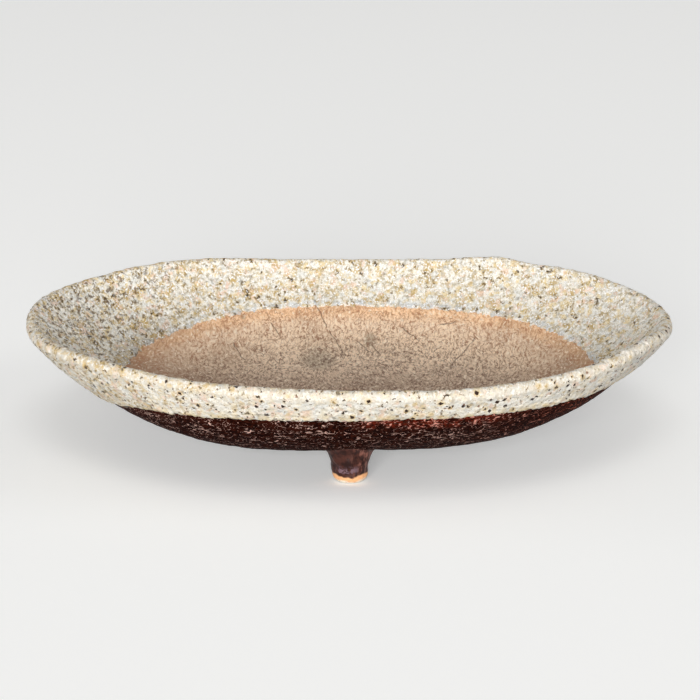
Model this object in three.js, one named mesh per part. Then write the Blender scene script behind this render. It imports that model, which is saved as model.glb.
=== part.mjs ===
// A shallow oval bonsai pot, hand formed in stoneware: one dish on three luted feet, with a
// thick pale glaze over its rim and bare clay on its floor. Millimetres, +Z up, +X along the
// length. The feet stand on z = 0, and the origin is on the table under the middle of the dish.
import * as THREE from "three";

// The dish. Its edge is the line on the outside where the wall starts to round over into the lip.
const EDGE_LENGTH = 237.6;
const EDGE_WIDTH = 186.6;
const EDGE_HEIGHT = 40.8;
const UNDERSIDE_HEIGHT = 7.5;
const FLOOR_THICKNESS = 6.5;
const LIP_THICKNESS = 3.6;
const DRAIN_DIAMETER = 13;
const RIM_WAVE_HEIGHT = 3;

// The glaze is a coat of its own thickness, with a fine seat gap between it and the clay. Its
// depths are measured down from the edge.
const GLAZE_THICKNESS = 0.7;
const GLAZE_SEAT = 0.3;
const GLAZE_EDGE_ROLL = 1.1;
const GLAZE_DEPTH_OUTSIDE = 12;
const GLAZE_DEPTH_INSIDE = 20;

// Each foot is a tapered peg, with a ground flat under it and a smeared joint at its top.
const FOOT_SETBACK = 35.5;
const FOOT_FLAT_DIAMETER = 9;
const FOOT_ROUND_HEIGHT = 3;
const FOOT_SHANK_DIAMETER = 12.6;
const FOOT_NECK_DIAMETER = 15.4;
const FOOT_JOINT_DIAMETER = 18;
const FOOT_SEAT = 0.3;
const FEET = { foot_front: 270.2, foot_rear_right: 44, foot_rear_left: 136 };

// What changes round the oval is a list of [degrees, value] knots, counter-clockwise from +X
// seen from above, so 270 is the front. The rim was pressed by hand, and rises and dips by
// these shares of the wave's height.
const RIM_WAVE = [
  [0, 0.04],
  [15, 0.03],
  [30, 0.22],
  [44, 0.5],
  [52, 0.3],
  [60, 0.64],
  [72, -0.36],
  [88, -0.76],
  [104, -0.5],
  [118, 0.27],
  [132, 0.6],
  [146, 0.45],
  [160, 0.57],
  [172, 0.62],
  [190, 0.12],
  [222, 0.4],
  [240, 0],
  [258, -0.1],
  [278, -0.3],
  [290, -0.55],
  [305, -0.4],
  [318, 0.05],
  [335, 0.85],
  [350, 0.2],
];
// The power of the wall's curve: higher is a flatter floor and a steeper wall.
const WALL_FULLNESS = [
  [0, 4],
  [45, 4],
  [90, 4.2],
  [135, 4.2],
  [180, 3.3],
  [210, 4.6],
  [235, 5.5],
  [270, 4.7],
  [315, 5],
];
// How far the glaze comes down the wall, as shares of its depth on that side.
const GLAZE_LINE_OUTSIDE = [
  [0, 1.05],
  [45, 0.96],
  [90, 0.79],
  [135, 0.96],
  [180, 1.12],
  [200, 1.33],
  [215, 1.36],
  [226, 1.16],
  [240, 0.96],
  [258, 0.81],
  [278, 0.7],
  [292, 0.68],
  [305, 0.75],
  [320, 0.87],
  [340, 1],
];
const GLAZE_LINE_INSIDE = [
  [0, 1],
  [30, 0.95],
  [50, 0.9],
  [65, 0.89],
  [80, 0.825],
  [105, 0.84],
  [120, 0.95],
  [135, 1.05],
  [153, 1.1],
  [176, 1.1],
  [200, 1.07],
  [225, 1.05],
  [250, 0.95],
  [280, 0.85],
  [310, 0.875],
  [335, 0.95],
];
// How thick the glaze is at its very edge and one step in, as shares of its thickness.
const GLAZE_EDGE_SHARES = [0.4, 0.75];

// How finely the surfaces are divided.
const COLUMNS = 72;
const BARE_STEPS = 8;
const LIP_STEPS = 6;
const GLAZE_STEPS = 4;
const FOOT_SIDES = 24;
const FOOT_ROUND_RINGS = 4;
const FOOT_SHANK_RINGS = 7;
const FOOT_CAP_RINGS = 2;

const clay = (colour, roughness) =>
  new THREE.MeshStandardMaterial({ color: colour, roughness, metalness: 0 });
const ironWashedClay = clay("#4a2c24", 0.72);
const creamGlaze = clay("#e2d9c4", 0.42);
const footClay = clay("#573830", 0.6);

// A value that changes smoothly round the oval, through knots in rising order.
function around(knots, degrees) {
  const [first] = knots[0];
  const turn = THREE.MathUtils.euclideanModulo(degrees - first, 360) + first;
  const here = knots.findLastIndex(([angle]) => angle <= turn);
  const [before, start, end, after] = [-1, 0, 1, 2].map((step) => {
    const index = here + step;
    const lap = Math.floor(index / knots.length);
    const [angle, value] = knots[index - lap * knots.length];
    return { angle: angle + 360 * lap, value };
  });
  const span = end.angle - start.angle;
  const t = (turn - start.angle) / span;
  const leave = (span * (end.value - before.value)) / (end.angle - before.angle);
  const arrive = (span * (after.value - start.value)) / (after.angle - start.angle);
  const rise = end.value - start.value;
  const bend = leave + arrive - 2 * rise;
  return start.value + t * (leave + t * (3 * rise - 2 * leave - arrive + t * bend));
}

// A point of the clay's outside. Reach runs from 0 at the middle to 1 at the edge.
function outsidePoint(degrees, reach) {
  const angle = THREE.MathUtils.degToRad(degrees);
  const bowl = (EDGE_HEIGHT - UNDERSIDE_HEIGHT) * reach ** around(WALL_FULLNESS, degrees);
  const wave = RIM_WAVE_HEIGHT * around(RIM_WAVE, degrees) * reach ** 3;
  return new THREE.Vector3(
    (EDGE_LENGTH / 2) * reach * Math.cos(angle),
    (EDGE_WIDTH / 2) * reach * Math.sin(angle),
    UNDERSIDE_HEIGHT + bowl + wave,
  );
}

// The reach at which the outside is so many millimetres below its edge, on a level rim.
function reachAtDrop(degrees, drop) {
  return (1 - drop / (EDGE_HEIGHT - UNDERSIDE_HEIGHT)) ** (1 / around(WALL_FULLNESS, degrees));
}

// The height of the underside over a point of the table.
function undersideHeight(x, y) {
  const across = x / (EDGE_LENGTH / 2);
  const deep = y / (EDGE_WIDTH / 2);
  const degrees = THREE.MathUtils.radToDeg(Math.atan2(deep, across));
  return outsidePoint(degrees, Math.hypot(across, deep)).z;
}

// The way up the outside wall, and the way through the clay to the inside, at one point.
function wallDirections(degrees, reach) {
  const step = 1e-3;
  const up = outsidePoint(degrees, reach + step).sub(outsidePoint(degrees, reach - step));
  const round = outsidePoint(degrees + step, reach).sub(outsidePoint(degrees - step, reach));
  const through = up.clone().cross(round).normalize();
  return { up: up.normalize(), through };
}

function clayThickness(reach) {
  return FLOOR_THICKNESS + (LIP_THICKNESS - FLOOR_THICKNESS) * reach ** 3;
}

// Points along the clay's skin at one angle: up the outside, over the lip and down the inside,
// standing off the clay by standOff(i) at point i.
function skin(degrees, outsideReaches, insideReaches, standOff) {
  const points = [];
  const push = (point, direction) =>
    points.push(point.addScaledVector(direction, standOff(points.length)));
  for (const reach of outsideReaches) {
    const { through } = wallDirections(degrees, reach);
    push(outsidePoint(degrees, reach), through.negate());
  }
  const { up, through } = wallDirections(degrees, 1);
  const lipRadius = LIP_THICKNESS / 2;
  const lipMiddle = outsidePoint(degrees, 1).addScaledVector(through, lipRadius);
  for (let i = 1; i < LIP_STEPS; i++) {
    const turn = (Math.PI * i) / LIP_STEPS;
    const direction = through.clone().multiplyScalar(-Math.cos(turn));
    direction.addScaledVector(up, Math.sin(turn));
    push(lipMiddle.clone().addScaledVector(direction, lipRadius), direction);
  }
  for (const reach of insideReaches) {
    const inward = wallDirections(degrees, reach).through;
    push(outsidePoint(degrees, reach).addScaledVector(inward, clayThickness(reach)), inward);
  }
  return points;
}

const spread = (from, to, steps) =>
  Array.from({ length: steps + 1 }, (_, i) => THREE.MathUtils.lerp(from, to, i / steps));

// A closed surface from loops of points that lie side by side, the last beside the first.
function ringOfLoops(loops) {
  const perLoop = loops[0].length;
  const indices = [];
  loops.forEach((_, column) => {
    const next = (column + 1) % loops.length;
    for (let i = 0; i < perLoop; i++) {
      const j = (i + 1) % perLoop;
      const [a, b] = [column * perLoop + i, column * perLoop + j];
      const [c, d] = [next * perLoop + i, next * perLoop + j];
      indices.push(a, c, b, b, c, d);
    }
  });
  return new THREE.BufferGeometry().setFromPoints(loops.flat()).setIndex(indices);
}

const columnAngles = spread(0, 360, COLUMNS).slice(0, COLUMNS);

// The reaches that the glaze covers on one side of the wall at one angle, from its edge to the lip.
// The first three follow the roll of its edge. The clay is divided at the same ones.
function glazedReaches(degrees, depth, line) {
  const low = reachAtDrop(degrees, depth * around(line, degrees));
  const roll = GLAZE_EDGE_ROLL / outsidePoint(degrees, 1).setZ(0).length();
  return [low, low + roll / 4, ...spread(low + roll, 1, GLAZE_STEPS)];
}

// The dish: floor, wall and lip in one, with the drain hole through its middle.
function dishGeometry() {
  const loops = columnAngles.map((degrees) => {
    const hole = DRAIN_DIAMETER / 2 / outsidePoint(degrees, 1).setZ(0).length();
    const fromHole = (glazed) => [
      ...spread(hole, glazed[0], BARE_STEPS).slice(0, BARE_STEPS),
      ...glazed,
    ];
    const outside = fromHole(glazedReaches(degrees, GLAZE_DEPTH_OUTSIDE, GLAZE_LINE_OUTSIDE));
    const inside = fromHole(glazedReaches(degrees, GLAZE_DEPTH_INSIDE, GLAZE_LINE_INSIDE));
    return skin(degrees, outside, inside.reverse(), () => 0);
  });
  return ringOfLoops(loops);
}

// The glaze coat: from its edge low on the outside, over the lip, to its edge on the inside.
// Both edges are rolled over, as a thick glaze ends.
function glazeGeometry() {
  const loops = columnAngles.map((degrees) => {
    const outside = glazedReaches(degrees, GLAZE_DEPTH_OUTSIDE, GLAZE_LINE_OUTSIDE);
    const inside = glazedReaches(degrees, GLAZE_DEPTH_INSIDE, GLAZE_LINE_INSIDE).reverse();
    const last = outside.length + LIP_STEPS + inside.length - 2;
    const share = (i) => GLAZE_EDGE_SHARES[Math.min(i, last - i)] ?? 1;
    const outer = skin(degrees, outside, inside, (i) => GLAZE_SEAT + GLAZE_THICKNESS * share(i));
    const inner = skin(degrees, outside, inside, () => GLAZE_SEAT);
    return [...outer, ...inner.reverse()];
  });
  return ringOfLoops(loops);
}

// The foot's outline: how wide it is at a share of its height, from the ground up.
function footRadius(share, height) {
  const round = FOOT_ROUND_HEIGHT / height;
  const flat = FOOT_FLAT_DIAMETER / 2;
  const shank = FOOT_SHANK_DIAMETER / 2;
  if (share < round) {
    const left = 1 - share / round;
    return flat + (shank - flat) * Math.sqrt(1 - left * left);
  }
  const climb = (share - round) / (1 - round);
  const neck = THREE.MathUtils.lerp(shank, FOOT_NECK_DIAMETER / 2, climb);
  return neck + ((FOOT_JOINT_DIAMETER - FOOT_NECK_DIAMETER) / 2) * climb ** 5;
}

// One foot, standing on the table and cut to the underside that it is luted to.
function footGeometry(degrees) {
  const angle = THREE.MathUtils.degToRad(degrees);
  const middleX = (EDGE_LENGTH / 2 - FOOT_SETBACK) * Math.cos(angle);
  const middleY = (EDGE_WIDTH / 2 - FOOT_SETBACK) * Math.sin(angle);
  const topOver = (x, y) => undersideHeight(x, y) - FOOT_SEAT;
  const middleHeight = topOver(middleX, middleY);
  const roundShare = FOOT_ROUND_HEIGHT / middleHeight;
  const curl = spread(0, Math.PI / 2, FOOT_ROUND_RINGS).map(
    (turn) => roundShare * (1 - Math.cos(turn)),
  );
  const shares = [...curl, ...spread(roundShare, 1, FOOT_SHANK_RINGS).slice(1)];
  const rings = shares.map((share) => ({ share, radius: footRadius(share, middleHeight) }));
  const rim = rings.at(-1).radius;
  const cap = spread(rim, 0, FOOT_CAP_RINGS + 1).slice(1, -1);
  cap.forEach((radius) => rings.push({ share: 1, radius }));
  const pointAt = (x, y, share) => new THREE.Vector3(x, y, share * topOver(x, y));
  const points = [pointAt(middleX, middleY, 0)];
  for (const { share, radius } of rings) {
    for (const turn of spread(0, 2 * Math.PI, FOOT_SIDES).slice(0, -1)) {
      const x = middleX + radius * Math.cos(turn);
      const y = middleY + radius * Math.sin(turn);
      points.push(pointAt(x, y, share));
    }
  }
  points.push(pointAt(middleX, middleY, 1));
  const indices = [];
  const top = points.length - 1;
  for (let side = 0; side < FOOT_SIDES; side++) {
    const next = (side + 1) % FOOT_SIDES;
    indices.push(0, 1 + next, 1 + side);
    for (let ring = 0; ring < rings.length - 1; ring++) {
      const low = 1 + ring * FOOT_SIDES;
      const high = low + FOOT_SIDES;
      indices.push(low + side, low + next, high + side, high + side, low + next, high + next);
    }
    indices.push(top - FOOT_SIDES + side, top - FOOT_SIDES + next, top);
  }
  return new THREE.BufferGeometry().setFromPoints(points).setIndex(indices);
}

function named(name, geometry, material) {
  const mesh = new THREE.Mesh(geometry, material);
  mesh.name = name;
  return mesh;
}

const pot = new THREE.Group();
pot.add(named("dish", dishGeometry(), ironWashedClay));
pot.add(named("glaze_coat", glazeGeometry(), creamGlaze));
for (const [name, degrees] of Object.entries(FEET)) {
  pot.add(named(name, footGeometry(degrees), footClay));
}

export default pot;
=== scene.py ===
import math

import bpy
import numpy as np
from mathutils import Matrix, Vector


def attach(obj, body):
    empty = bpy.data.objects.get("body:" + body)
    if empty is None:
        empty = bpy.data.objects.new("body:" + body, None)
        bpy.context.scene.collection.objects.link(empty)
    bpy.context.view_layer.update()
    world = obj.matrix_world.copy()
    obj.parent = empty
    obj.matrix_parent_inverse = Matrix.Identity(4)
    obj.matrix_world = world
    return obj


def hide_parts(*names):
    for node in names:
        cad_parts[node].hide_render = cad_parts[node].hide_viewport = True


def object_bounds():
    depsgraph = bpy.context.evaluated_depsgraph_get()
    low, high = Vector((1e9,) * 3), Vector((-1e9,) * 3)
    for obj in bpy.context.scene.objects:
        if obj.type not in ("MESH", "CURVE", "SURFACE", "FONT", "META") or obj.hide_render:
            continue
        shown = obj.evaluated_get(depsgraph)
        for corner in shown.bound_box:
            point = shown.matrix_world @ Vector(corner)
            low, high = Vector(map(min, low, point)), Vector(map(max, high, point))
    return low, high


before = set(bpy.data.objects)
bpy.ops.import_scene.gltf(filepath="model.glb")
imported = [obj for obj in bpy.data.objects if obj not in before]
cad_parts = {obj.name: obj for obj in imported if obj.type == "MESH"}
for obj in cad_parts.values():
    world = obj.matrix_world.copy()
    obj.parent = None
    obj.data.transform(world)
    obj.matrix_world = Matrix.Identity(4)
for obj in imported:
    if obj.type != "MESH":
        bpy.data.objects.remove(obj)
cad_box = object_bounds()

# The dish
# One slab of coarse iron-bearing stoneware, pressed by hand into an oval bowl. Its outside is
# brushed with an iron wash that fires near black. Its floor is left bare for the roots, and
# has one drain hole.

# The script's millimetres in a metre.
METRE = 1000

# The girth's radius is that of a circle about as long round as the edge.
EDGE_LENGTH = 237.6
EDGE_WIDTH = 186.6
EDGE_HEIGHT = 40.8
UNDERSIDE_HEIGHT = 7.5
FLOOR_THICKNESS = 6.5
LIP_THICKNESS = 3.6
DRAIN_DIAMETER = 13
RIM_WAVE_HEIGHT = 3
GLAZE_DEPTH_OUTSIDE = 12
GLAZE_DEPTH_INSIDE = 20
GLAZE_LINE_RAGGEDNESS = 0.36
GIRTH_RADIUS = 107

# Shares round the oval as (degrees, share), counter-clockwise from +X: how the rim rises and
# dips, the power of the wall's curve, and how far the glaze comes down outside and inside.
RIM_WAVE = [
    (0, 0.04), (15, 0.03), (30, 0.22), (44, 0.5), (52, 0.3), (60, 0.64), (72, -0.36), (88, -0.76),
    (104, -0.5), (118, 0.27), (132, 0.6), (146, 0.45), (160, 0.57), (172, 0.62), (190, 0.12),
    (222, 0.4), (240, 0), (258, -0.1), (278, -0.3), (290, -0.55), (305, -0.4), (318, 0.05),
    (335, 0.85), (350, 0.2),
]
WALL_FULLNESS = [
    (0, 4), (45, 4), (90, 4.2), (135, 4.2), (180, 3.3), (210, 4.6), (235, 5.5), (270, 4.7),
    (315, 5),
]
GLAZE_LINE_OUTSIDE = [
    (0, 1.05), (45, 0.96), (90, 0.79), (135, 0.96), (180, 1.12), (200, 1.33), (215, 1.36),
    (226, 1.16), (240, 0.96), (258, 0.81), (278, 0.7), (292, 0.68), (305, 0.75), (320, 0.87),
    (340, 1),
]
GLAZE_LINE_INSIDE = [
    (0, 1), (30, 0.95), (50, 0.9), (65, 0.89), (80, 0.825), (105, 0.84), (120, 0.95),
    (135, 1.05), (153, 1.1), (176, 1.1), (200, 1.07), (225, 1.05), (250, 0.95), (280, 0.85),
    (310, 0.875), (335, 0.95),
]


def around(knots, degrees):
    """A value that changes smoothly round the oval, through its knots."""
    angles, values = np.array(knots, float).T
    turn = (degrees - angles[0]) % 360 + angles[0]
    here = np.searchsorted(angles, turn, side="right") - 1
    near = []
    for step in (-1, 0, 1, 2):
        lap, place = np.divmod(here + step, len(angles))
        near.append((angles[place] + 360 * lap, values[place]))
    (before_at, before), (start_at, start), (end_at, end), (after_at, after) = near
    span = end_at - start_at
    t = (turn - start_at) / span
    leave = span * (end - before) / (end_at - before_at)
    arrive = span * (after - start) / (after_at - start_at)
    rise = end - start
    bend = leave + arrive - 2 * rise
    return start + t * (leave + t * (3 * rise - 2 * leave - arrive + t * bend))


# The waves that make the glaze's edge ragged, by how many times each goes round the oval, and
# the seed that shifts them.
RAGGED_WAVES = np.arange(14, 420, 2)
RAGGED_SEED = 40


def ragged(degrees, size, seed):
    """A fine ragged line round the oval, so many millimetres either way."""
    draw = np.random.default_rng(seed)
    waves = RAGGED_WAVES
    turns = np.radians(np.outer(degrees, waves)) + draw.uniform(0, 2 * np.pi, waves.size)
    return size * (np.sin(turns) / waves**0.35).sum(axis=1) / (1 / waves**0.7).sum() ** 0.5


def outside_point(degrees, reach):
    """A point of the clay's outside, at a reach of 0 in the middle to 1 at the edge."""
    angle = np.radians(degrees)
    bowl = (EDGE_HEIGHT - UNDERSIDE_HEIGHT) * reach ** around(WALL_FULLNESS, degrees)
    wave = RIM_WAVE_HEIGHT * around(RIM_WAVE, degrees) * reach**3
    across = EDGE_LENGTH / 2 * reach * np.cos(angle)
    deep = EDGE_WIDTH / 2 * reach * np.sin(angle)
    return np.stack([across, deep, UNDERSIDE_HEIGHT + bowl + wave], axis=-1)


def unit(vectors):
    """Vectors of the same directions, each one long."""
    return vectors / np.linalg.norm(vectors, axis=-1, keepdims=True)


def wall_directions(degrees, reach):
    """The way up the outside wall, and the way through the clay to the inside."""
    step = 1e-3
    up = outside_point(degrees, reach + step) - outside_point(degrees, reach - step)
    onward = outside_point(degrees + step, reach) - outside_point(degrees - step, reach)
    return unit(up), unit(np.cross(up, onward))


def column(values, like):
    """One number, or one for each point, as a column beside the points."""
    return np.broadcast_to(values, like.shape)[:, None]


def on_wall(side, degrees, reach, off):
    """A point so far off the clay, on the outside, side 0, or on the inside, side 1."""
    thickness = FLOOR_THICKNESS + (LIP_THICKNESS - FLOOR_THICKNESS) * reach**3
    inwards = thickness + off if side else -off
    through = wall_directions(degrees, reach)[1]
    return outside_point(degrees, reach) + through * column(inwards, degrees)


def on_lip(degrees, turn, off):
    """A point so far off the lip, turned from the outside at 0 to the inside at pi."""
    up, through = wall_directions(degrees, np.ones_like(degrees))
    way = up * np.sin(turn) - through * np.cos(turn)
    middle = outside_point(degrees, np.ones_like(degrees)) + through * LIP_THICKNESS / 2
    return middle + way * column(LIP_THICKNESS / 2 + off, degrees)


def way_between(degrees, start, end):
    """How far it is along the clay from one reach to another, in millimetres."""
    shares = np.linspace(0, 1, 13)[:, None]
    steps = outside_point(degrees[None, :], start * (1 - shares) + end * shares)
    return np.linalg.norm(np.diff(steps, axis=0), axis=-1).sum(axis=0)


def glaze_reach(degrees, side):
    """The reach of the glaze's ragged edge on the outside, side 0, or the inside, side 1."""
    line = GLAZE_LINE_INSIDE if side else GLAZE_LINE_OUTSIDE
    depth = GLAZE_DEPTH_INSIDE if side else GLAZE_DEPTH_OUTSIDE
    uneven = ragged(degrees, GLAZE_LINE_RAGGEDNESS, RAGGED_SEED + side)
    drop = depth * around(line, degrees) + uneven
    bowl = EDGE_HEIGHT - UNDERSIDE_HEIGHT
    return (1 - drop / bowl) ** (1 / around(WALL_FULLNESS, degrees))


def hole_reach(degrees):
    """The reach of the drain hole's wall."""
    flat = outside_point(degrees, np.ones_like(degrees))[:, :2]
    return DRAIN_DIAMETER / 2 / np.linalg.norm(flat, axis=1)


def turns_of(count):
    """So many even turns round the oval, in degrees."""
    return np.arange(count) * 360 / count


def ring(place, degrees, **marks):
    """A ring of points in millimetres, with a value of each mark at each point."""
    return {"place": place, "degrees": degrees} | {
        name: np.broadcast_to(value, degrees.shape) for name, value in marks.items()
    }


def strip_between(low_count, low_start, high_count, high_start):
    """The triangles between two rings of points. Each side of a ring goes to the other ring's
    point that comes next after the side's middle, and a ring of one point has no sides."""
    low_middles = (np.arange(low_count if low_count > 1 else 0) + 0.5) / low_count
    high_middles = (np.arange(high_count if high_count > 1 else 0) + 0.5) / high_count
    i = np.arange(low_middles.size)
    j = np.arange(high_middles.size)
    beside_low = np.searchsorted(high_middles, low_middles, side="left") % high_count
    beside_high = np.searchsorted(low_middles, high_middles, side="right") % low_count
    low_next = low_start + (i + 1) % low_count
    high_next = high_start + (j + 1) % high_count
    return [
        np.column_stack([low_start + i, low_next, high_start + beside_low]),
        np.column_stack([high_next, high_start + j, low_start + beside_high]),
    ]


def keep_marks(mesh, values):
    """Keeps the girth and the marks at a mesh's points. The girth unrolls the piece: a place
    round a circle, and a way along the piece."""
    turn = np.radians(values.pop("degrees"))
    girth = [GIRTH_RADIUS * np.cos(turn), GIRTH_RADIUS * np.sin(turn), values.pop("along")]
    layer = mesh.attributes.new("girth", "FLOAT_VECTOR", "POINT")
    layer.data.foreach_set("vector", np.column_stack(girth).ravel() / METRE)
    for mark, value in values.items():
        layer = mesh.attributes.new(mark, "FLOAT", "POINT")
        layer.data.foreach_set("value", value.astype(np.float32))


def make_surface(name, rings, closed):
    """A mesh through rings of points, which may differ in their number of points."""
    counts = [len(row["place"]) for row in rings]
    starts = np.concatenate([[0], np.cumsum(counts)])
    triangles = []
    for low in range(len(rings) if closed else len(rings) - 1):
        high = (low + 1) % len(rings)
        triangles += strip_between(counts[low], starts[low], counts[high], starts[high])
    values = {key: np.concatenate([row[key] for row in rings]) for key in rings[0]}
    mesh = bpy.data.meshes.new(name)
    mesh.from_pydata(values.pop("place") / METRE, [], np.concatenate(triangles))
    keep_marks(mesh, values)
    mesh.shade_smooth()
    piece = bpy.data.objects.new(name, mesh)
    bpy.context.scene.collection.objects.link(piece)
    return piece


def count_at(reach, step):
    """How many points go round the dish at a reach, so far apart in millimetres."""
    return max(12, round(2 * math.pi * GIRTH_RADIUS * reach / step))


# How far apart the points of the clay stand outside and inside, and how many go round where
# they are only measured with, where the glaze hides them and in the drain hole.
CLAY_STEPS = (0.95, 0.74)
ROUGH_POINTS = 72
HIDDEN_POINTS = 240
HOLE_POINTS = 64

# Over what way the clay's relief dies out towards the glaze, how deep the clay is sunk under
# the glaze, how much wider the drain hole's mouths are than its waist, as a share, and how far
# from the glaze all of the hole is taken to be.
RELIEF_FADE = 1.5
SUNK_UNDER_GLAZE = 0.3
HOLE_FLARE = 0.12
FAR_FROM_GLAZE = 60


def bare_rings(side):
    """From the drain hole to the glaze's edge, on the outside or the inside."""
    step = CLAY_STEPS[side]
    rough = turns_of(ROUGH_POINTS)
    rough_low = glaze_reach(rough, side)
    longest = way_between(rough, 0 * rough_low, rough_low).max()
    rows = []
    for climb in np.linspace(0, 1, round(longest / step)):
        rough_reach = hole_reach(rough) * (1 + HOLE_FLARE) * (1 - climb) + rough_low * climb
        degrees = turns_of(count_at(rough_reach.mean(), step))
        low = glaze_reach(degrees, side)
        reach = hole_reach(degrees) * (1 + HOLE_FLARE) * (1 - climb) + low * climb
        gap = way_between(degrees, reach, low)
        shown = np.clip(gap / RELIEF_FADE, 0, 1)
        rows.append(ring(on_wall(side, degrees, reach, 0), degrees, along=gap, bare=shown,
                         inside=side, line=gap))
    return rows


def hidden_rings(side):
    """On from the glaze's edge to the lip, where the glaze covers the clay."""
    degrees = turns_of(HIDDEN_POINTS)
    low = glaze_reach(degrees, side)
    rows = []
    for climb in (0.08, 0.3, 0.6, 1):
        place = on_wall(side, degrees, low * (1 - climb) + climb, -SUNK_UNDER_GLAZE)
        rows.append(ring(place, degrees, along=-1, bare=0, inside=side, line=-1))
    return rows


def hidden_lip():
    """Over the clay's lip, from the outside to the inside."""
    degrees = turns_of(HIDDEN_POINTS)
    rows = []
    for turn in np.linspace(0, math.pi, 6)[1:-1]:
        place = on_lip(degrees, turn, -SUNK_UNDER_GLAZE)
        rows.append(ring(place, degrees, along=-1, bare=0, inside=0, line=-1))
    return rows


def hole_rings():
    """Down through the drain hole, which is a little wider at its two mouths."""
    degrees = turns_of(HOLE_POINTS)
    rows = []
    for down in np.linspace(0, 1, 12)[1:-1]:
        reach = hole_reach(degrees) * (1 + HOLE_FLARE * abs(2 * down - 1) ** 5)
        place = on_wall(1, degrees, reach, 0) * (1 - down) + on_wall(0, degrees, reach, 0) * down
        rows.append(ring(place, degrees, along=FAR_FROM_GLAZE, bare=1, inside=1,
                         line=FAR_FROM_GLAZE))
    return rows


def dish_rings():
    """Up the outside, over the lip, down the inside and through the drain hole."""
    outside = bare_rings(0) + hidden_rings(0)
    inside = bare_rings(1) + hidden_rings(1)
    return outside + hidden_lip() + inside[::-1] + hole_rings()


def add(tree, kind, inputs, out=0, **settings):
    """Adds a node with its settings and links, and gives one of its outputs."""
    node = tree.nodes.new(kind)
    for name, value in settings.items():
        setattr(node, name, value)
    for socket, value in inputs.items():
        if isinstance(value, bpy.types.NodeSocket):
            tree.links.new(value, node.inputs[socket])
        else:
            node.inputs[socket].default_value = value
    return node.outputs[out] if node.outputs else None


# The part of each texture's range that a layer's height is spread over, from its lowest point
# to its highest, and how much finer detail the noise has.
CELL_RANGE = (0.75, 0.15)
NOISE_RANGE = (0.3, 0.7)
NOISE_DETAIL = 2.5


def layer_level(tree, group, name, texture, drawn, fades):
    """How far one layer of texture lifts or sinks the surface at each point."""
    where = add(tree, "GeometryNodeInputPosition", {})
    spread = add(tree, "ShaderNodeVectorMath", {0: where, 1: [1 / d for d in drawn]},
                 operation="MULTIPLY")
    fine = add(tree, "ShaderNodeMath", {0: 1.0, 1: group[name + " width"]}, operation="DIVIDE")
    if texture == "CELLS":
        away = add(tree, "ShaderNodeTexVoronoi",
                   {"Vector": spread, "Scale": fine, "W": group["Seed"]},
                   voronoi_dimensions="4D", feature="SMOOTH_F1")
        low, high = CELL_RANGE
        level = add(tree, "ShaderNodeMapRange",
                    {"Value": away, "From Min": low, "From Max": high, "To Min": -1.0})
    else:
        noise = add(tree, "ShaderNodeTexNoise",
                    {"Vector": spread, "Scale": fine, "W": group["Seed"],
                     "Detail": NOISE_DETAIL},
                    noise_dimensions="4D")
        low, high = NOISE_RANGE
        level = add(tree, "ShaderNodeMapRange",
                    {"Value": noise, "From Min": low, "From Max": high, "To Min": -1.0},
                    interpolation_type="SMOOTHSTEP")
    level = add(tree, "ShaderNodeMath", {0: level, 1: group[name + " height"]},
                operation="MULTIPLY")
    faded = add(tree, "GeometryNodeInputNamedAttribute", {"Name": fades}, data_type="FLOAT")
    return add(tree, "ShaderNodeMath", {0: level, 1: faded}, operation="MULTIPLY")


def finished_mesh(piece):
    """The piece's mesh with its relief, held inside the box of the solids."""
    graph = bpy.context.evaluated_depsgraph_get()
    mesh = bpy.data.meshes.new_from_object(piece.evaluated_get(graph), depsgraph=graph)
    low, high = [np.array(corner) for corner in cad_box]
    place = np.empty(len(mesh.vertices) * 3, np.float32)
    mesh.vertices.foreach_get("co", place)
    held = np.clip(place.reshape(-1, 3), low, high)
    mesh.vertices.foreach_set("co", held.ravel())
    mesh.update()
    return mesh


def roughen(piece, layers, materials, seed):
    """Raises and sinks the surface of a piece by layers of texture, in Geometry Nodes. A layer
    is a name, a texture, its width and its height in millimetres, how far it is drawn out along
    X, Y and Z, and the mark that it fades with. The materials are the outside's, which the
    whole piece gets, and after it the inside's, where the piece has one."""
    tree = bpy.data.node_groups.new(piece.name + "_relief", "GeometryNodeTree")
    sockets = {"Geometry": tree.interface.new_socket("Geometry", socket_type="NodeSocketGeometry")}
    values = {"Seed": seed}
    for name, _, width, height, *_ in layers:
        values[name + " width"] = width / METRE
        values[name + " height"] = height / METRE
    for name in values:
        sockets[name] = tree.interface.new_socket(name, socket_type="NodeSocketFloat")
    for side, material in materials.items():
        values[side] = material
        sockets[side] = tree.interface.new_socket(side, socket_type="NodeSocketMaterial")
    tree.interface.new_socket("Result", in_out="OUTPUT", socket_type="NodeSocketGeometry")
    group = tree.nodes.new("NodeGroupInput").outputs
    total = 0.0
    for name, texture, _, _, drawn, fades in layers:
        level = layer_level(tree, group, name, texture, drawn, fades)
        total = add(tree, "ShaderNodeMath", {0: level, 1: total}, operation="ADD")
    normal = add(tree, "GeometryNodeInputNormal", {})
    moved = add(tree, "ShaderNodeVectorMath", {0: normal, "Scale": total}, operation="SCALE")
    shape = add(tree, "GeometryNodeSetPosition", {"Geometry": group["Geometry"], "Offset": moved})
    shape = add(tree, "GeometryNodeRealizeInstances", {"Geometry": shape})
    for side in materials:
        chosen = True
        if side == "inside":
            mark = add(tree, "GeometryNodeInputNamedAttribute", {"Name": side}, data_type="FLOAT")
            chosen = add(tree, "FunctionNodeCompare", {0: mark, 1: 0.5})
        shape = add(tree, "GeometryNodeSetMaterial",
                    {"Geometry": shape, "Selection": chosen, "Material": group[side]})
    add(tree, "NodeGroupOutput", {"Result": shape})
    modifier = piece.modifiers.new("relief", "NODES")
    modifier.node_group = tree
    for name, value in values.items():
        modifier[sockets[name].identifier] = value
    finished = finished_mesh(piece)
    piece.modifiers.remove(modifier)
    piece.data = finished


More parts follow.
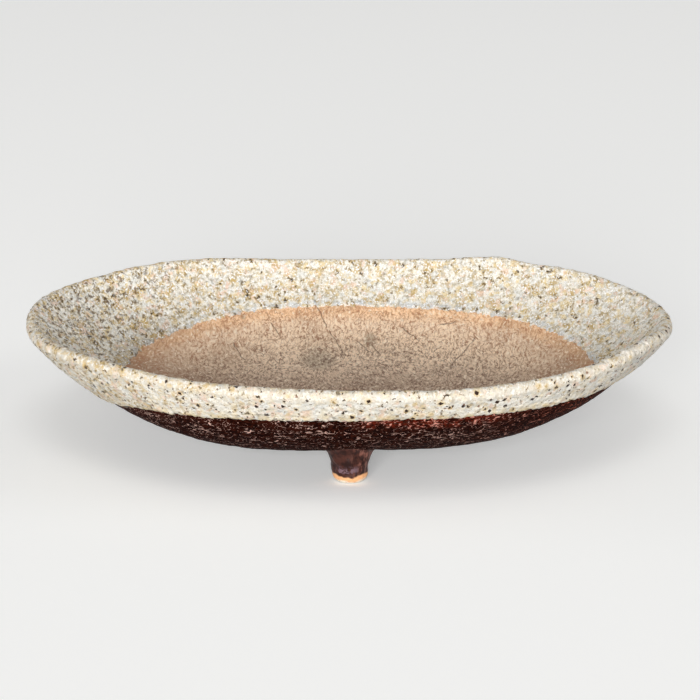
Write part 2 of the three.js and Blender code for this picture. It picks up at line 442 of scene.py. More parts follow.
def colour(code):
    """An sRGB hex colour turned to linear."""
    parts = [int(code[k : k + 2], 16) / 255 for k in (1, 3, 5)]
    linear = [c / 12.92 if c <= 0.04045 else ((c + 0.055) / 1.055) ** 2.4 for c in parts]
    return (*linear, 1)


def new_material(name, **shader_values):
    """A material with values set on its shader, its node tree and that shader."""
    material = bpy.data.materials.new(name)
    material.use_nodes = True
    tree = material.node_tree
    shader = tree.nodes["Principled BSDF"]
    for socket, value in shader_values.items():
        shader.inputs[socket.replace("_", " ")].default_value = value
    return material, tree, shader


def surface(tree, *marks):
    """What a material reads at each point: the place in the object's frame and that place's x,
    y and z in metres, and the piece's own marks, which are in millimetres or shares."""
    place = add(tree, "ShaderNodeTexCoord", {}, out="Object")
    parts = add(tree, "ShaderNodeSeparateXYZ", {"Vector": place}).node.outputs
    read = {"place": place, "x": parts["X"], "y": parts["Y"], "z": parts["Z"]}
    for name in marks:
        read[name] = add(tree, "ShaderNodeAttribute", {}, out="Fac", attribute_name=name)
    return read


def share(tree, *limits):
    """How much shows, from 0 to 1: a product of patterns. Each is eased from 0 at its start to
    1 at its end, or to the most that a fourth number gives."""
    total = 1.0
    for pattern, start, end, *most in limits:
        span = {"Value": pattern, "From Min": start, "From Max": end, "To Max": (most or [1.0])[0]}
        eased = add(tree, "ShaderNodeMapRange", span, interpolation_type="SMOOTHSTEP")
        total = add(tree, "ShaderNodeMath", {0: eased, 1: total}, operation="MULTIPLY")
    return total


def strongest(tree, *patterns):
    """The strongest of several patterns at each point."""
    total, *others = patterns
    for pattern in others:
        total = add(tree, "ShaderNodeMath", {0: total, 1: pattern}, operation="MAXIMUM")
    return total


def coat(tree, under, over, *limits):
    """Lays a colour over another, as much as the patterns let show."""
    under, over = [colour(c) if isinstance(c, str) else c for c in (under, over)]
    return add(tree, "ShaderNodeMix", {0: share(tree, *limits), 6: under, 7: over}, out=2,
               data_type="RGBA")


def finish_surface(tree, shader, tone, height, millimetres, strength=1.0):
    """Gives a shader its colour, and its finest relief at most so many millimetres deep."""
    tree.links.new(tone, shader.inputs["Base Color"])
    relief = {"Height": height, "Distance": millimetres / METRE, "Strength": strength}
    tree.links.new(add(tree, "ShaderNodeBump", relief), shader.inputs["Normal"])


def mottle(tree, where, millimetres, detail=3.0, seed=0.0, stretch=(1, 1, 1)):
    """Soft blotches from 0 to 1, so many millimetres across, drawn out along X, Y and Z."""
    spread = add(tree, "ShaderNodeVectorMath",
                 {0: where, 1: [METRE / (millimetres * way) for way in stretch]},
                 operation="MULTIPLY")
    return add(tree, "ShaderNodeTexNoise",
               {"Vector": spread, "Scale": 1.0, "Detail": detail, "W": seed},
               noise_dimensions="4D")


def swayed(tree, where, millimetres, amount):
    """A place moved about by blotches, so that what is drawn there bends."""
    sway = add(tree, "ShaderNodeTexNoise", {"Vector": where, "Scale": METRE / millimetres}, out=1)
    sway = add(tree, "ShaderNodeVectorMath", {0: sway, 1: (0.5, 0.5, 0.5)},
               operation="SUBTRACT")
    sway = add(tree, "ShaderNodeVectorMath", {0: sway, "Scale": amount / METRE},
               operation="SCALE")
    return add(tree, "ShaderNodeVectorMath", {0: where, 1: sway}, operation="ADD")


def threads(tree, pattern, width):
    """Thin wandering lines, 1 where a pattern crosses its middle and 0 a width away."""
    off = add(tree, "ShaderNodeMath", {0: pattern, 1: 0.5}, operation="SUBTRACT")
    off = add(tree, "ShaderNodeMath", {0: off}, operation="ABSOLUTE")
    return share(tree, (off, width, width / 3))


def spots(tree, where, millimetres, radius, chance, soft):
    """Spots of many sizes, one in each cell that chance picks, 1 in their middle."""
    away = add(tree, "ShaderNodeTexVoronoi", {"Vector": where, "Scale": METRE / millimetres})
    drawn = add(tree, "ShaderNodeSeparateColor", {"Color": away.node.outputs["Color"]})
    chosen = add(tree, "ShaderNodeMath", {0: drawn, 1: chance}, operation="LESS_THAN")
    size = add(tree, "ShaderNodeMath", {0: drawn.node.outputs["Green"], 1: 0.5})
    away = add(tree, "ShaderNodeMath", {0: away, 1: size}, operation="DIVIDE")
    edge = radius / millimetres
    return share(tree, (away, edge * (1 + soft), edge * (1 - soft)), (chosen, 0, 1))


def smudge(tree, where, middle, size, feather=0.5):
    """An oval mark seen from above, 1 in its middle, placed and sized in millimetres."""
    centred = add(tree, "ShaderNodeVectorMath", {0: where, 1: [-c / METRE for c in (*middle, 0)]},
                  operation="ADD")
    grown = add(tree, "ShaderNodeVectorMath",
                {0: centred, 1: (2 * METRE / size[0], 2 * METRE / size[1], 0)},
                operation="MULTIPLY")
    away = add(tree, "ShaderNodeVectorMath", {0: grown}, out="Value", operation="LENGTH")
    return share(tree, (away, 1 + feather, 1 - feather))


# Where rust comes through the wash in front, seen from above.
RUST_MIDDLE = (30, -84)
RUST_SIZE = (50, 40)


def worn_ridges_and_glints(tree, place, rusty):
    """1 where the wash is worn thin and where glints on its raised lines are painted as pale
    colour, a painted highlight: long broken lines round the dish, shorter ones that craze it,
    grit of the coarse clay, and grains where it is rusty."""
    girth = add(tree, "ShaderNodeAttribute", {}, out="Vector", attribute_name="girth")
    bent = swayed(tree, girth, 4, 2.4)
    brushed = threads(tree, mottle(tree, bent, 3.8, 1, 3, (2.4, 2.4, 1)), 0.0125)
    brushed = share(tree, (brushed, 0, 1), (mottle(tree, place, 1.1, 2, 5), 0.43, 0.52))
    crazed = threads(tree, mottle(tree, bent, 2.7, 1, 11, (1.5, 1.5, 1)), 0.0105)
    crazed = share(tree, (crazed, 0, 1, 0.9), (mottle(tree, place, 1.6, 2, 12), 0.47, 0.55))
    grit = spots(tree, swayed(tree, place, 1.4, 1.4), 1.4, 0.22, 0.5, 0.3)
    grit = share(tree, (grit, 0, 1, 0.9))
    grains = share(tree, (mottle(tree, bent, 1.1, 2, 17, (1.6, 1.6, 1)), 0.56, 0.64),
                   (rusty, 0, 0.8))
    return strongest(tree, brushed, crazed, grit, grains)


def washed_outside():
    """Iron-washed stoneware, brushed on and fired matt. Near black, with broken fine lines and
    grit of dusty pink where the wash is worn thin, and rust under the glaze in front. The pale
    lines and grit are also painted highlights, glints on the raised lines, and fade out down
    the wall as painted shade."""
    material, tree, shader = new_material("iron_washed_stoneware", Roughness=0.6,
                                          Specular_IOR_Level=0.01)
    on = surface(tree, "line")
    place, line = on["place"], on["line"]
    rusty = share(tree, (line, 8, 2.5),
                  (smudge(tree, place, RUST_MIDDLE, RUST_SIZE), 0, 1),
                  (mottle(tree, place, 7, 2, 8), 0.36, 0.52))
    wash = coat(tree, "#120201", "#3c190f", (mottle(tree, place, 1.1), 0.44, 0.62))
    wash = coat(tree, wash, "#431a10", (line, 9, 0, 0.7), (mottle(tree, place, 6), 0.4, 0.62))
    wash = coat(tree, wash, "#7a2a1a", (rusty, 0, 1, 0.8), (mottle(tree, place, 1.3), 0.4, 0.6))
    ridges_and_glints = worn_ridges_and_glints(tree, place, rusty)
    # Painted highlight: the pale lines and grit stand for glints as well as for thin wash, and
    # fade out down the wall from the glaze's edge as painted shade.
    worn_and_glint_colour = coat(tree, "#f8cdbd", "#c87560", (on["x"], 0.03, 0.08))
    worn_and_glint_colour = coat(tree, worn_and_glint_colour, "#ffb4a0", (rusty, 0, 0.6))
    wash = coat(tree, wash, worn_and_glint_colour, (ridges_and_glints, 0, 1), (line, 52, 6))
    height = add(tree, "ShaderNodeMath", {0: ridges_and_glints, 1: mottle(tree, place, 0.9, 4)})
    finish_surface(tree, shader, wash, height, 0.4)
    return material


SCORE_WIDTH = 0.7
SCORE_TAPER = 2


def score(tree, where, start, end, width):
    """A straight score in the clay from one point to another, 1 on it."""
    start, end = np.array(start), np.array(end)
    length = np.linalg.norm(end - start)
    way = (end - start) / length
    from_start = add(tree, "ShaderNodeVectorMath", {0: where, 1: (*(-start / METRE), 0)},
                     operation="ADD")
    along, across = [
        add(tree, "ShaderNodeVectorMath", {0: from_start, 1: (*direction, 0)}, out="Value",
            operation="DOT_PRODUCT")
        for direction in (way, (-way[1], way[0]))
    ]
    across = add(tree, "ShaderNodeMath", {0: across}, operation="ABSOLUTE")
    width = width / METRE
    length = length / METRE
    taper = SCORE_TAPER / METRE
    return share(tree, (across, width / 2, width / 8), (along, 0, taper),
                 (along, length, length - taper))


# Scores by their two ends, and stains by their middle and size, seen from above.
FLOOR_SCORES = [
    ((-13.5, 77), (-8.6, 66)), ((-8.6, 66), (-2.9, 52)), ((-3.1, 53), (-2.4, 43)),
    ((2.5, 59), (9.5, 46)), ((9, 55), (12, 45)), ((20, 66), (28, 55)), ((35, 62), (43, 61)),
    ((-31, 66), (-27, 58)), ((38, 30), (50, 52)), ((-46, 50), (-40, 36)),
]
FLOOR_STAINS = [((8.1, 58), (5, 10)), ((-12, 41), (13, 22)), ((-42.5, 65), (2, 3))]
# How wide the floor is darkened in and round the drain hole.
HOLE_DARKENED_DIAMETER = DRAIN_DIAMETER * 1.02


def wiped_clay(tree, on, bent):
    """Warm tan, peach beside the glaze, duller to the left, darker towards the front as painted
    shade under the front wall, and stained.
    """
    place, line = on["place"], on["line"]
    clay = coat(tree, "#f8dcc0", "#ffe2c2", (line, 55, 12))
    clay = coat(tree, clay, "#ffd4a8", (line, 10, 2))
    clay = coat(tree, clay, "#a1806a", (on["x"], -0.02, -0.085, 0.4))
    # Painted shade: darker towards the front of the floor, under the front wall.
    clay = coat(tree, clay, "#8a6a56", (on["y"], 0.04, 0.0, 0.5))
    stain = mottle(tree, swayed(tree, place, 20, 8), 24, 3, 2)
    clay = coat(tree, clay, "#8f7560", (stain, 0.46, 0.66, 0.25))
    for middle, size in FLOOR_STAINS:
        clay = coat(tree, clay, "#7d7765", (smudge(tree, bent, middle, size, 0.7), 0, 1, 0.5))
    hole_edge = smudge(tree, place, (0, 0), (HOLE_DARKENED_DIAMETER, HOLE_DARKENED_DIAMETER), 0.1)
    return coat(tree, clay, "#77614f", (hole_edge, 0, 1))


def bare_inside():
    """Bare tan stoneware, wiped with a damp hand and fired with no glaze. Dry, with fine
    wrinkles drawn out across the dish, and flashed peach where it meets the glaze."""
    material, tree, shader = new_material("bare_tan_stoneware", Roughness=0.85)
    on = surface(tree, "line")
    place = on["place"]
    bent = swayed(tree, place, 5, 2.5)
    curled = swayed(tree, swayed(tree, swayed(tree, place, 40, 8), 7, 3), 2, 1)
    clay = wiped_clay(tree, on, bent)
    hollow = coat(tree, "#b87e59", "#6a4736", (on["line"], 0, 40))
    grain = mottle(tree, curled, 0.9, 3, 4, (1, 3, 1))
    clay = coat(tree, clay, hollow, (grain, 0.5, 0.36, 0.6))
    clay = coat(tree, clay, "#ffedd6", (grain, 0.54, 0.68, 0.8))
    wrinkles = threads(tree, mottle(tree, curled, 1.3, 2, 19, (1, 2.6, 1)), 0.035)
    clay = coat(tree, clay, hollow, (wrinkles, 0, 1, 0.4))
    creases = threads(tree, mottle(tree, curled, 2.0, 2, 9, (1, 3, 1)), 0.03)
    creases = share(tree, (creases, 0, 1, 0.8), (mottle(tree, place, 5, 3, 5), 0.34, 0.54))
    clay = coat(tree, clay, hollow, (creases, 0, 1, 0.8))
    scores = strongest(tree, *[
        score(tree, bent, start, end, SCORE_WIDTH) for start, end in FLOOR_SCORES
    ])
    clay = coat(tree, clay, "#553a2b", (scores, 0, 1, 0.6))
    height = add(tree, "ShaderNodeMath", {0: grain, 1: strongest(tree, creases, scores)},
                 operation="SUBTRACT")
    finish_surface(tree, shader, clay, height, 0.2)
    return material


# Layers of relief: name, texture, width, height, how far drawn out, and the mark it fades with.
EVEN = (1, 1, 1)
CLAY_RELIEF = [
    ("Swells", "NOISE", 24, 0.3, EVEN, "bare"),
    ("Lumps", "NOISE", 6, 0.08, EVEN, "bare"),
    ("Grain", "NOISE", 1.9, 0.08, (1, 1.6, 1), "bare"),
]

dish = make_surface("clay_dish", dish_rings(), closed=True)
dish_finish = {"outside": washed_outside(), "inside": bare_inside()}
roughen(dish, CLAY_RELIEF, dish_finish, seed=3.0)
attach(dish, "root")
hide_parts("dish")

# The glaze
# A thick, stiff oatmeal glaze over coarse clay: poured inside, dipped over the lip and fired
# until it crawled into grains, with iron spots bleeding up through it. Its edge is a roll.

# How far the glaze's face stands off the clay, how high its edge is rolled, and how deep that
# edge and the unseen back lie in the clay.
GLAZE_STAND_OFF = 0.72
GLAZE_EDGE_ROLL = 1.1
GLAZE_EDGE_SUNK = 0.25
GLAZE_BACK_SUNK = 0.2

# How far apart its points stand, and about how far out it starts on the outside and inside,
# which gives the number of points that go round.
GLAZE_STEP = 0.62
GLAZE_BACK_POINTS = 200
OUTSIDE_MEAN_REACH = 0.9
INSIDE_LOW_REACH = 0.78

# The way over a quarter turn of the lip, how far the lip is taken to be from the glaze's
# edges, how much its grains are drawn out as it ran, and how wide the finest pebbles are.
LIP_QUARTER = math.pi / 2 * (LIP_THICKNESS / 2 + GLAZE_STAND_OFF)
LIP_FROM_EDGE = 14
GLAZE_RUN = 1.6
FINEST_PEBBLE = 1.0


def glaze_wall(side):
    """From the rolled edge of the glaze up to the lip, on the outside or the inside."""
    away = 1 if side else -1
    rough = turns_of(ROUGH_POINTS)
    length = way_between(rough, glaze_reach(rough, side), 1).mean()
    curl = [1 - math.cos(a) for a in np.linspace(0, math.pi / 2, 6)]
    flat = np.linspace(0, 1, round(length / GLAZE_STEP))[1:]
    rows = []
    for roll, climb in [(k, 0) for k in curl] + [(1, k) for k in flat]:
        inside_reach = INSIDE_LOW_REACH * (1 - climb) + climb
        degrees = turns_of(count_at(inside_reach if side else OUTSIDE_MEAN_REACH, GLAZE_STEP))
        low = glaze_reach(degrees, side)
        rolled = GLAZE_EDGE_ROLL / GIRTH_RADIUS * roll
        reach = (low + rolled) * (1 - climb) + climb
        lift = math.sqrt(1 - (1 - roll) ** 2)
        off = -GLAZE_EDGE_SUNK + (GLAZE_STAND_OFF + GLAZE_EDGE_SUNK) * lift
        to_edge = way_between(degrees, low, reach)
        to_crest = away * (way_between(degrees, reach, 1) + LIP_QUARTER)
        rows.append(ring(on_wall(side, degrees, reach, off), degrees, along=to_crest,
                         shown=min(1, roll), inside=side, edge=to_edge, crest=to_crest))
    return rows


def glaze_lip():
    """Over the lip, from the outside to the inside."""
    degrees = turns_of(count_at(1, GLAZE_STEP))
    rows = []
    for turn in np.linspace(0, math.pi, 15)[1:-1]:
        crest = (turn - math.pi / 2) * LIP_QUARTER / (math.pi / 2)
        rows.append(ring(on_lip(degrees, turn, GLAZE_STAND_OFF), degrees, along=crest, shown=1,
                         inside=turn / math.pi, edge=LIP_FROM_EDGE, crest=crest))
    return rows


def glaze_back():
    """Back along the clay, unseen, from the inner edge over the lip to the outer edge."""
    degrees = turns_of(GLAZE_BACK_POINTS)
    unseen = {"along": 0, "shown": 0, "edge": 0, "crest": 0}
    rows = []
    for side, climbs in ((1, (0.05, 0.35, 0.7, 1)), (0, (1, 0.6, 0.05))):
        for climb in climbs:
            reach = glaze_reach(degrees, side) * (1 - climb) + climb
            place = on_wall(side, degrees, reach, -GLAZE_BACK_SUNK)
            rows.append(ring(place, degrees, inside=side, **unseen))
        if side:
            for turn in np.linspace(math.pi, 0, 6)[1:-1]:
                place = on_lip(degrees, turn, -GLAZE_BACK_SUNK)
                rows.append(ring(place, degrees, inside=0, **unseen))
    return rows


def glaze_rings():
    """Up the outside, over the lip and down the inside, then back along the clay."""
    return glaze_wall(0) + glaze_lip() + glaze_wall(1)[::-1] + glaze_back()


def cream_grains(tree, on, grain):
    """White and cream grains, with grey, straw and peach drifting through them."""
    place, run, inside = on["place"], on["run"], on["inside"]
    low = coat(tree, "#f1e9d7", "#b9ae94", (inside, 0, 1))
    high = coat(tree, "#fcf7ec", "#f3eee2", (inside, 0, 1))
    base = coat(tree, low, high, (grain, 0.36, 0.54))
    base = coat(tree, base, "#dcdedb", (mottle(tree, place, 5, 2, 2), 0.46, 0.62, 0.5))
    base = coat(tree, base, "#e6cc90", (mottle(tree, run, 2.6, 3, 3), 0.5, 0.64, 0.7),
                (inside, -0.8, 1))
    return coat(tree, base, "#eec6ab", (mottle(tree, on["torn"], 3.2, 3, 12), 0.54, 0.66, 0.6))


def pooled_edges_and_painted_shade(tree, on, grain, base):
    """Straw along the outer edge, blue grey along the inner one that is partly painted shade
    over the roll, a line of painted shade where the lip turns over in front, and painted shade,
    brown, in the hollows and along the inner edge at the left."""
    place, inside, edge, crest = [on[name] for name in ("place", "inside", "edge", "crest")]
    base = coat(tree, base, "#e8cf98", (edge, 6, 0.5, 0.7), (inside, 0.5, 0.2),
                (mottle(tree, place, 3, 3, 13), 0.42, 0.6))
    # Blue grey of thin glaze along the inner edge, partly painted shade that dims the roll.
    base = coat(tree, base, "#c3cad0", (edge, 4, 0.8, 0.75), (inside, 0.7, 1),
                (mottle(tree, place, 4, 2, 14), 0.4, 0.56))
    # Painted shade: the grain's hollows darkened inside at the left.
    base = coat(tree, base, "#5c4c34", (grain, 0.45, 0.36, 0.7), (on["x"], -0.03, -0.1),
                (inside, 0.6, 1))
    # Painted shade: a duller band over the lip's crest in front.
    base = coat(tree, base, "#d9d0c0", (crest, -5.2, -3, 0.85), (crest, 2.2, 0.4),
                (on["y"], 0, -0.05), (mottle(tree, on["run"], 1.0, 3, 41), 0.62, 0.46))
    # Painted shade: darker along the inner edge at the left.
    return coat(tree, base, "#8d806c", (edge, 12, 2, 0.45), (on["x"], -0.05, -0.09),
                (inside, 0.7, 1))


def ochre_pits(tree, on, base):
    """Ochre patches, and clustered pits that darken towards their middle, most of them inside
    and at the left, with white grains, partly painted glints, and brown streaks beside them."""
    place, torn, inside = on["place"], on["torn"], on["inside"]
    busy = share(tree, (inside, 0, 1, 0.5))
    for also in ((on["x"], -0.02, -0.09, 0.4), (mottle(tree, place, 12, 2, 4), 0.38, 0.6, 0.45)):
        busy = add(tree, "ShaderNodeMath", {0: busy, 1: share(tree, also)})
    pitted = mottle(tree, on["run"], 0.7, 3, 6)
    ochre = mottle(tree, torn, 3.4, 4, 16)
    base = coat(tree, base, "#bc9c58", (ochre, 0.5, 0.64), (busy, 0.1, 1, 0.85),
                (pitted, 0.6, 0.46))
    pits = mottle(tree, torn, 1.9, 3, 21)
    clustered = (mottle(tree, place, 6, 3, 22), 0.36, 0.56)
    base = coat(tree, base, "#ab8f52", (pits, 0.46, 0.39, 0.8), (busy, 0, 1), clustered)
    base = coat(tree, base, "#6a5633", (pits, 0.41, 0.35), (busy, 0, 0.8), clustered)
    base = coat(tree, base, "#2e2110", (pits, 0.36, 0.31), (busy, 0, 0.7), clustered)
    # White grains inside, partly painted highlights: glints on the pebbly glaze.
    base = coat(tree, base, "#ffffff", (pitted, 0.54, 0.64, 0.9), (inside, 0, 1))
    streaks = mottle(tree, torn, 1.7, 3, 44)
    return coat(tree, base, "#574024", (streaks, 0.44, 0.37, 0.85), (on["x"], -0.05, -0.1),
                (inside, 0.6, 1))


def worn_crest(tree, on, base):
    """Pinkish clay through the thin glaze on the crest at the back, and dull pores all over."""
    base = coat(tree, base, "#a07c66", (on["crest"], -2.4, -1.2), (on["crest"], 0.4, -0.4),
                (mottle(tree, on["place"], 2.4, 3, 9), 0.42, 0.6), (on["y"], -0.05, 0.04, 0.7))
    return coat(tree, base, "#b3a384", (mottle(tree, on["run"], 0.55, 2, 15), 0.44, 0.34, 0.5))


def iron_spots(tree, on, base):
    """Specks, wisps at the left, rusty dots and iron spots that bleed ochre round them, nearly
    all of them outside."""
    place, torn = on["place"], on["torn"]
    outside = share(tree, (on["inside"], 1, 0.8))
    specks = mottle(tree, torn, 1.5, 3, 33)
    base = coat(tree, base, "#8a6b42", (specks, 0.395, 0.345, 0.85), (outside, 0, 1))
    base = coat(tree, base, "#1c100a", (specks, 0.348, 0.328), (outside, 0, 1))
    base = coat(tree, base, "#dbc08c", (mottle(tree, torn, 1.8, 3, 51), 0.52, 0.62, 0.6),
                (outside, 0, 1), (on["x"], -0.02, -0.08))
    rusty = spots(tree, torn, 2.3, 0.3, 0.5, 0.3)
    base = coat(tree, base, "#7a4526", (rusty, 0, 1, 0.8), (outside, 0, 1))
    chipped = swayed(tree, place, 0.9, 1.5)
    bleed = spots(tree, chipped, 3.1, 1.0, 0.35, 0.6)
    base = coat(tree, base, "#d8b878", (bleed, 0, 1, 0.6), (outside, 0, 1))
    iron = spots(tree, chipped, 3.1, 0.6, 0.85, 0.2)
    return coat(tree, base, "#2a1405", (iron, 0, 1), (outside, -0.6, 1),
                (mottle(tree, place, 8, 2, 61), 0.4, 0.5))


def oatmeal_glaze():
    """Speckled oatmeal glaze, fired satin. White and cream grains, drawn out a little as it ran,
    with grey and ochre between them, ochre spots with dark cores, and iron specks. Painted
    shade lies at the left, on the lip's crest in front and over the inner edge, and some white
    grains are painted glints."""
    material, tree, shader = new_material("speckled_oatmeal_glaze", Roughness=0.45,
                                          Specular_IOR_Level=0.25)
    on = surface(tree, "inside", "edge", "crest")
    run = add(tree, "ShaderNodeVectorMath", {0: on["place"], 1: (1, 1 / GLAZE_RUN, 1)},
              operation="MULTIPLY")
    bent = swayed(tree, run, 1.2, 0.8)
    on["run"] = run
    on["torn"] = swayed(tree, swayed(tree, run, 1.8, 1.5), 0.8, 0.6)
    grain = mottle(tree, bent, 1.35, 4, 1)
    base = cream_grains(tree, on, grain)
    base = pooled_edges_and_painted_shade(tree, on, grain, base)
    base = ochre_pits(tree, on, base)
    base = worn_crest(tree, on, base)
    base = iron_spots(tree, on, base)
    pebbles = add(tree, "ShaderNodeTexVoronoi", {"Vector": bent, "Scale": METRE / FINEST_PEBBLE},
                  feature="SMOOTH_F1")
    height = add(tree, "ShaderNodeMath", {0: grain, 1: pebbles}, operation="SUBTRACT")
    finish_surface(tree, shader, base, height, 0.4, strength=0.8)
    return material


GLAZE_RELIEF = [
    ("Swells", "NOISE", 15, 0.12, EVEN, "shown"),
    ("Lumps", "NOISE", 3.5, 0.17, EVEN, "shown"),
    ("Pebbles", "CELLS", 1.7, 0.13, EVEN, "shown"),
]

glaze = make_surface("oatmeal_glaze", glaze_rings(), closed=True)
roughen(glaze, GLAZE_RELIEF, {"outside": oatmeal_glaze()}, seed=7.0)
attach(glaze, "root")
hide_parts("glaze_coat")

# The feet
# Three short pegs of the same clay, rolled, luted to the underside with slip and ground flat.
# The iron wash on them is smoother, and was wiped off the last three millimetres.

FOOT_SETBACK = 35.5
FOOT_FLAT_DIAMETER = 9
FOOT_ROUND_HEIGHT = 3
FOOT_SHANK_DIAMETER = 12.6
FOOT_NECK_DIAMETER = 15.4
FOOT_JOINT_DIAMETER = 18
FOOT_TOP_SUNK = 0.25
FOOT_DEGREES = {"foot_front": 270.2, "foot_rear_right": 44, "foot_rear_left": 136}
FOOT_POINTS = 112


def underside_height(place):
    """The height of the underside over points of the table."""
    across = place[:, 0] / (EDGE_LENGTH / 2)
    deep = place[:, 1] / (EDGE_WIDTH / 2)
    return outside_point(np.degrees(np.arctan2(deep, across)), np.hypot(across, deep))[:, 2]


def foot_outline(rounded):
    """The foot's outline from the middle of its flat to the middle of its top, as shares of its
    height and radii in millimetres. It is rounded off below a share."""
    flat, shank, neck = [d / 2 for d in (FOOT_FLAT_DIAMETER, FOOT_SHANK_DIAMETER,
                                         FOOT_NECK_DIAMETER)]
    outline = [(0, flat * k) for k in (0, 0.25, 0.5, 0.75)]
    for turn in np.linspace(0, math.pi / 2, 12):
        outline.append((rounded * (1 - math.cos(turn)), flat + (shank - flat) * math.sin(turn)))
    for climb in np.linspace(0, 1, 34)[1:]:
        flare = (FOOT_JOINT_DIAMETER - FOOT_NECK_DIAMETER) / 2 * climb**5
        outline.append((rounded + (1 - rounded) * climb, shank + (neck - shank) * climb + flare))
    top = outline[-1][1]
    return outline + [(1, top * k) for k in (0.75, 0.5, 0.25, 0)]


def foot_rings(around_at):
    """From the middle of the ground flat, up the foot to its top a little inside the dish."""
    angle = math.radians(around_at)
    middle = np.array([[(EDGE_LENGTH / 2 - FOOT_SETBACK) * math.cos(angle),
                        (EDGE_WIDTH / 2 - FOOT_SETBACK) * math.sin(angle)]])
    rounded = FOOT_ROUND_HEIGHT / underside_height(middle)[0]
    rows = []
    for climb, radius in foot_outline(rounded):
        fullness = min(1, radius / (FOOT_FLAT_DIAMETER / 2))
        degrees = turns_of(max(1, round(fullness * FOOT_POINTS)))
        turn = np.radians(degrees)
        place = middle + radius * np.column_stack([np.cos(turn), np.sin(turn)])
        tall = climb * underside_height(place) + FOOT_TOP_SUNK * climb**4
        rows.append(ring(np.column_stack([place, tall]), degrees, along=tall,
                         shown=min(1, climb / rounded)))
    return rows


# In millimetres: where the front foot's sheen lies, seen from above, and between which heights
# it fades in and out, then how high the bare band goes from pale to peach and from peach to
# wash, and how uneven these heights are.
FOOT_SHEEN_MIDDLE = (-0.5, -62)
FOOT_SHEEN_SIZE = (7, 16)
FOOT_SHEEN_BOTTOM = (3.5, 4.5)
FOOT_SHEEN_TOP = (7.5, 5.5)
PALE_TO_PEACH = (0.9, 2)
PEACH_TO_WASH = (2.7, 3.4)
WIPE_UNEVENNESS = 4


def washed_foot():
    """Iron-washed clay smoothed upwards with a wet finger and fired to a dull sheen. Lighter
    reddish streaks on the right are a painted highlight, a grey-violet patch low on the front
    foot is a painted sheen, and a band of bare peach clay goes round the ground edge."""
    material, tree, shader = new_material("smoothed_iron_wash", Roughness=0.38,
                                          Specular_IOR_Level=0.2)
    on = surface(tree)
    place = on["place"]
    height = add(tree, "ShaderNodeMath", {0: on["z"], 1: METRE}, operation="MULTIPLY")
    wash = coat(tree, "#28120e", "#4c2a22", (mottle(tree, place, 2.2, 3), 0.38, 0.62))
    # Painted highlight: lighter reddish streaks on the right side of the feet.
    streaked_highlight = mottle(tree, place, 1.1, 3, 3, (1, 1, 4))
    wash = coat(tree, wash, "#a06a5c", (streaked_highlight, 0.48, 0.62, 0.7), (on["x"], -0.001, 0.005))
    wash = coat(tree, wash, "#8a6f78", (mottle(tree, place, 1.6, 2, 3), 0.42, 0.58, 0.8),
                (smudge(tree, place, FOOT_SHEEN_MIDDLE, FOOT_SHEEN_SIZE), 0, 1),
                (height, *FOOT_SHEEN_BOTTOM), (height, *FOOT_SHEEN_TOP))
    uneven = add(tree, "ShaderNodeMath", {0: mottle(tree, place, 5, 2, 4), 1: 0.5},
                 operation="SUBTRACT")
    wiped = add(tree, "ShaderNodeMath", {0: uneven, 1: WIPE_UNEVENNESS, 2: height},
                operation="MULTIPLY_ADD")
    bare = coat(tree, "#fff4e0", "#ffc08a", (wiped, *PALE_TO_PEACH))
    bare = coat(tree, bare, "#e2a074", (mottle(tree, place, 0.9), 0.5, 0.66, 0.35))
    clay = coat(tree, bare, wash, (wiped, *PEACH_TO_WASH))
    finish_surface(tree, shader, clay, mottle(tree, place, 0.9, 4), 0.15, strength=0.6)
    return material


FOOT_RELIEF = [
    ("Facets", "NOISE", 9, 0.35, EVEN, "shown"),
    ("Dents", "NOISE", 2.5, 0.12, EVEN, "shown"),
]
FOOT_SEED = 20.0

foot_finish = {"outside": washed_foot()}
for number, (node, around_at) in enumerate(FOOT_DEGREES.items()):
    foot = make_surface(node + "_peg", foot_rings(around_at), closed=False)
    roughen(foot, FOOT_RELIEF, foot_finish, seed=FOOT_SEED + number)
    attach(foot, "root")
    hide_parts(node)

# The table and the light
# A plain pale sheet under the pot in a pale room, with one large soft lamp low in front and
# weaker ones above and at both sides. From here on, places and distances are in metres.

FLOOR_REACH = 6
ROOM_LIGHT = 0.2
LAMP_DISTANCE = 5
LAMP_SIZE = 2.2
LAMP_AIM_HEIGHT = 0.03

# Each lamp's turn round the pot from the front, its elevation and its level.
LAMPS = {
    "front_lamp": (-7, 10, 1.23),
    "top_lamp": (0, 65, 0.14),
    "left_lamp": (-100, 15, 0.12),
    "right_lamp": (85, 20, 0.2),
}

floor_mesh = bpy.data.meshes.new("floor")
corners = [(x * FLOOR_REACH, y * FLOOR_REACH, 0) for x, y in ((-1, -1), (1, -1), (1, 1), (-1, 1))]
floor_mesh.from_pydata(corners, [], [(0, 1, 2, 3)])
floor = bpy.data.objects.new("floor", floor_mesh)
bpy.context.scene.collection.objects.link(floor)


def seen_or_mirrored(tree):
    """1 for what the camera sees, also by way of a shiny or clear surface, 0 for light."""
    rays = add(tree, "ShaderNodeLightPath", {}).node.outputs
    kinds = ("Is Camera Ray", "Is Glossy Ray", "Is Transmission Ray")
    return strongest(tree, *[rays[kind] for kind in kinds])


paper, sheet, paper_shader = new_material("pale_paper", Roughness=0.9,
                                          Emission_Color=colour("#ffffff"))
paper_colour = coat(sheet, "#7c7c7a", "#ececea", (seen_or_mirrored(sheet), 0, 1))
sheet.links.new(paper_colour, paper_shader.inputs["Base Color"])
lifted = share(sheet, (seen_or_mirrored(sheet), 0, 1, 0.3))
sheet.links.new(lifted, paper_shader.inputs["Emission Strength"])
floor_mesh.materials.append(paper)

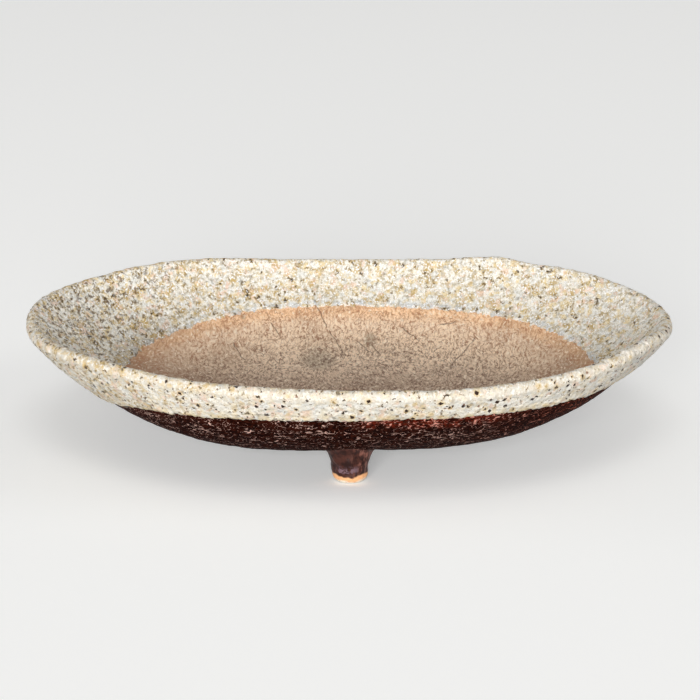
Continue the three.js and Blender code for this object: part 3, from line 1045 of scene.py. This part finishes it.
world = bpy.data.worlds.new("room")
world.use_nodes = True
bpy.context.scene.world = world
room = world.node_tree
dim = add(room, "ShaderNodeBackground", {"Color": colour("#ffffff"), "Strength": ROOM_LIGHT})
pale = add(room, "ShaderNodeBackground", {"Color": colour("#e9e9e7"), "Strength": 1.0})
both = add(room, "ShaderNodeMixShader", {0: seen_or_mirrored(room), 1: dim, 2: pale})
room.links.new(both, room.nodes["World Output"].inputs["Surface"])


def softbox(name, azimuth, elevation, level):
    """A soft square lamp that shines on the pot. Its level is the brightness it gives a white
    surface that faces it."""
    lamp = bpy.data.lights.new(name, "AREA")
    lamp.shape = "SQUARE"
    lamp.size = LAMP_SIZE
    lamp.energy = level * (math.pi * LAMP_DISTANCE) ** 2
    piece = bpy.data.objects.new(name, lamp)
    turn, rise = math.radians(azimuth), math.radians(elevation)
    piece.location = (LAMP_DISTANCE * math.sin(turn) * math.cos(rise),
                      -LAMP_DISTANCE * math.cos(turn) * math.cos(rise),
                      LAMP_DISTANCE * math.sin(rise) + LAMP_AIM_HEIGHT)
    piece.rotation_euler = (math.pi / 2 - rise, 0, turn)
    piece.visible_camera = False
    bpy.context.scene.collection.objects.link(piece)


for name, (azimuth, elevation, level) in LAMPS.items():
    softbox(name, azimuth, elevation, level)

# The camera
# It stands in front at the photograph's angle, a little above the rim. Its sensor and lens are
# in millimetres, and its focal length is also known in pixels of the square frame.

CAMERA_ELEVATION = 16.5
CAMERA_DISTANCE = 1.08
CAMERA_TARGET = (0.00024, 0, 0.03107)
CAMERA_REACH = 50
FOCAL_PIXELS = 2889
FRAME_PIXELS = 700
SENSOR_WIDTH = 36

camera = bpy.data.cameras.new("camera")
camera.sensor_width = SENSOR_WIDTH
camera.lens = SENSOR_WIDTH * FOCAL_PIXELS / FRAME_PIXELS
camera.clip_end = CAMERA_REACH
viewer = bpy.data.objects.new("camera", camera)
tilt = math.radians(CAMERA_ELEVATION)
viewer.location = (CAMERA_TARGET[0],
                   -CAMERA_DISTANCE * math.cos(tilt),
                   CAMERA_TARGET[2] + CAMERA_DISTANCE * math.sin(tilt))
viewer.rotation_euler = (math.pi / 2 - tilt, 0, 0)
bpy.context.scene.collection.objects.link(viewer)
bpy.context.scene.camera = viewer
bpy.context.scene.view_settings.view_transform = "Standard"
